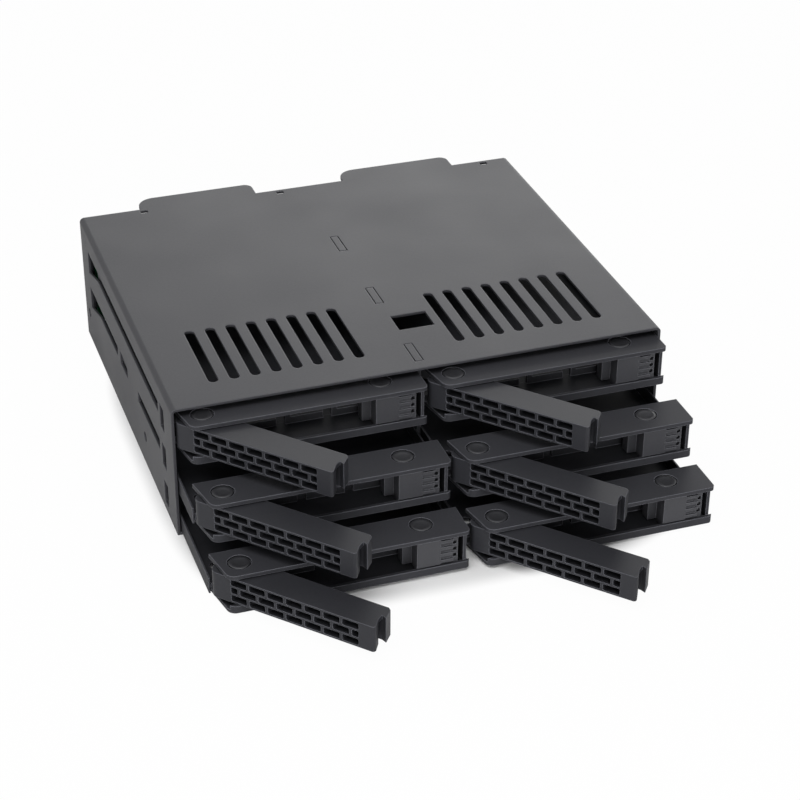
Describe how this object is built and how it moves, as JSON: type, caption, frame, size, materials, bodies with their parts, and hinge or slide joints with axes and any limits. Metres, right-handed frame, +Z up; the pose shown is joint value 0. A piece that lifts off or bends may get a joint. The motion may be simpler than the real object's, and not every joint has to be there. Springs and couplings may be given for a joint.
{
  "type": "hot swap drive cage",
  "caption": "Metal bay housing with a centre divider, holding sliding drive trays with swing levers and sprung latches, and a fan cooled backplane.",
  "frame": {"origin": "middle of the underside of the housing's base plate", "axes": "+X to the right seen from the front, +Y from the front to the back, +Z up"},
  "size_m": [0.146, 0.2035, 0.0413],
  "materials": {
    "housing_powder_coat": "satin dark grey powder coat",
    "tray_black_plastic": "fine textured black",
    "lever_black_plastic": "fine textured black",
    "latch_plastic": "smooth satin black",
    "zinc_steel": "bright zinc plate",
    "black_screw": "black oxide",
    "spring_steel": "bright spring wire",
    "board_green": "solder resist on board",
    "connector_black": "black moulded connector",
    "fan_black": "black moulded fan"
  },
  "bodies": {
    "tray_bottom_left": {"tray_bottom_left_frame": "tray_black_plastic", "tray_bottom_left_cover": "tray_black_plastic", "tray_bottom_left_screws": "black_screw", "tray_bottom_left_latch_spring": "spring_steel"},
    "tray_bottom_left_lever_arm": {"tray_bottom_left_lever": "lever_black_plastic"},
    "tray_bottom_left_latch_button": {"tray_bottom_left_latch": "latch_plastic"},
    "tray_bottom_right": {"tray_bottom_right_frame": "tray_black_plastic", "tray_bottom_right_cover": "tray_black_plastic", "tray_bottom_right_screws": "black_screw", "tray_bottom_right_latch_spring": "spring_steel"},
    "tray_bottom_right_lever_arm": {"tray_bottom_right_lever": "lever_black_plastic"},
    "tray_bottom_right_latch_button": {"tray_bottom_right_latch": "latch_plastic"},
    "tray_middle_left": {"tray_middle_left_frame": "tray_black_plastic", "tray_middle_left_cover": "tray_black_plastic", "tray_middle_left_screws": "black_screw", "tray_middle_left_latch_spring": "spring_steel"},
    "tray_middle_left_lever_arm": {"tray_middle_left_lever": "lever_black_plastic"},
    "tray_middle_left_latch_button": {"tray_middle_left_latch": "latch_plastic"},
    "tray_middle_right": {"tray_middle_right_frame": "tray_black_plastic", "tray_middle_right_cover": "tray_black_plastic", "tray_middle_right_screws": "black_screw", "tray_middle_right_latch_spring": "spring_steel"},
    "tray_middle_right_lever_arm": {"tray_middle_right_lever": "lever_black_plastic"},
    "tray_middle_right_latch_button": {"tray_middle_right_latch": "latch_plastic"},
    "tray_top_left": {"tray_top_left_frame": "tray_black_plastic", "tray_top_left_cover": "tray_black_plastic", "tray_top_left_screws": "black_screw", "tray_top_left_latch_spring": "spring_steel"},
    "tray_top_left_lever_arm": {"tray_top_left_lever": "lever_black_plastic"},
    "tray_top_left_latch_button": {"tray_top_left_latch": "latch_plastic"},
    "tray_top_right": {"tray_top_right_frame": "tray_black_plastic", "tray_top_right_cover": "tray_black_plastic", "tray_top_right_screws": "black_screw", "tray_top_right_latch_spring": "spring_steel"},
    "tray_top_right_lever_arm": {"tray_top_right_lever": "lever_black_plastic"},
    "tray_top_right_latch_button": {"tray_top_right_latch": "latch_plastic"},
    "housing": {"housing_shell": "housing_powder_coat", "base_plate": "housing_powder_coat", "centre_divider": "housing_powder_coat", "rear_panel": "housing_powder_coat", "backplane_board": "board_green", "board_spacers": "zinc_steel", "board_screws": "zinc_steel", "side_rivets": "zinc_steel", "fan_screws": "black_screw", "data_sockets_left": "connector_black", "power_socket_left": "connector_black", "fan_frame_left": "fan_black", "data_sockets_right": "connector_black", "power_socket_right": "connector_black", "fan_frame_right": "fan_black", "drive_connector_bottom_left": "connector_black", "drive_connector_bottom_right": "connector_black", "drive_connector_middle_left": "connector_black", "drive_connector_middle_right": "connector_black", "drive_connector_top_left": "connector_black", "drive_connector_top_right": "connector_black"},
    "fan_left": {"fan_rotor_left": "fan_black"},
    "fan_right": {"fan_rotor_right": "fan_black"}
  },
  "joints": [
    {"name": "tray_bottom_left_slide", "type": "slide", "parent": "housing", "child": "tray_bottom_left", "axis": [0, -1, 0], "range_m": [-0.0416, 0.0434]},
    {"name": "tray_bottom_left_lever_swing", "type": "hinge", "parent": "tray_bottom_left", "child": "tray_bottom_left_lever_arm", "pos_m": [-0.06435, -0.097, 0.007], "axis": [0, 0, 1], "range_deg": [0, 48]},
    {"name": "tray_bottom_left_latch_press", "type": "slide", "parent": "tray_bottom_left", "child": "tray_bottom_left_latch_button", "axis": [1, 0, 0], "range_m": [0, 0.0011], "stiffness_N_per_m": 300},
    {"name": "tray_bottom_right_slide", "type": "slide", "parent": "housing", "child": "tray_bottom_right", "axis": [0, -1, 0], "range_m": [-0.0432, 0.0418]},
    {"name": "tray_bottom_right_lever_swing", "type": "hinge", "parent": "tray_bottom_right", "child": "tray_bottom_right_lever_arm", "pos_m": [0.00835, -0.0986, 0.007], "axis": [0, 0, 1], "range_deg": [0, 48]},
    {"name": "tray_bottom_right_latch_press", "type": "slide", "parent": "tray_bottom_right", "child": "tray_bottom_right_latch_button", "axis": [1, 0, 0], "range_m": [0, 0.0011], "stiffness_N_per_m": 300},
    {"name": "tray_middle_left_slide", "type": "slide", "parent": "housing", "child": "tray_middle_left", "axis": [0, -1, 0], "range_m": [-0.0262, 0.0588]},
    {"name": "tray_middle_left_lever_swing", "type": "hinge", "parent": "tray_middle_left", "child": "tray_middle_left_lever_arm", "pos_m": [-0.06435, -0.0816, 0.01975], "axis": [0, 0, 1], "range_deg": [0, 48]},
    {"name": "tray_middle_left_latch_press", "type": "slide", "parent": "tray_middle_left", "child": "tray_middle_left_latch_button", "axis": [1, 0, 0], "range_m": [0, 0.0011], "stiffness_N_per_m": 300},
    {"name": "tray_middle_right_slide", "type": "slide", "parent": "housing", "child": "tray_middle_right", "axis": [0, -1, 0], "range_m": [-0.0275, 0.0575]},
    {"name": "tray_middle_right_lever_swing", "type": "hinge", "parent": "tray_middle_right", "child": "tray_middle_right_lever_arm", "pos_m": [0.00835, -0.0829, 0.01975], "axis": [0, 0, 1], "range_deg": [0, 48]},
    {"name": "tray_middle_right_latch_press", "type": "slide", "parent": "tray_middle_right", "child": "tray_middle_right_latch_button", "axis": [1, 0, 0], "range_m": [0, 0.0011], "stiffness_N_per_m": 300},
    {"name": "tray_top_left_slide", "type": "slide", "parent": "housing", "child": "tray_top_left", "axis": [0, -1, 0], "range_m": [-0.0063, 0.0787]},
    {"name": "tray_top_left_lever_swing", "type": "hinge", "parent": "tray_top_left", "child": "tray_top_left_lever_arm", "pos_m": [-0.06435, -0.0617, 0.0325], "axis": [0, 0, 1], "range_deg": [0, 48]},
    {"name": "tray_top_left_latch_press", "type": "slide", "parent": "tray_top_left", "child": "tray_top_left_latch_button", "axis": [1, 0, 0], "range_m": [0, 0.0011], "stiffness_N_per_m": 300},
    {"name": "tray_top_right_slide", "type": "slide", "parent": "housing", "child": "tray_top_right", "axis": [0, -1, 0], "range_m": [-0.0073, 0.0777]},
    {"name": "tray_top_right_lever_swing", "type": "hinge", "parent": "tray_top_right", "child": "tray_top_right_lever_arm", "pos_m": [0.00835, -0.0627, 0.0325], "axis": [0, 0, 1], "range_deg": [0, 48]},
    {"name": "tray_top_right_latch_press", "type": "slide", "parent": "tray_top_right", "child": "tray_top_right_latch_button", "axis": [1, 0, 0], "range_m": [0, 0.0011], "stiffness_N_per_m": 300},
    {"name": "fan_left_spin", "type": "hinge", "parent": "housing", "child": "fan_left", "pos_m": [-0.034, 0.0619, 0.02065], "axis": [0, 1, 0], "continuous": true},
    {"name": "fan_right_spin", "type": "hinge", "parent": "housing", "child": "fan_right", "pos_m": [0.034, 0.0619, 0.02065], "axis": [0, 1, 0], "continuous": true}
  ]
}
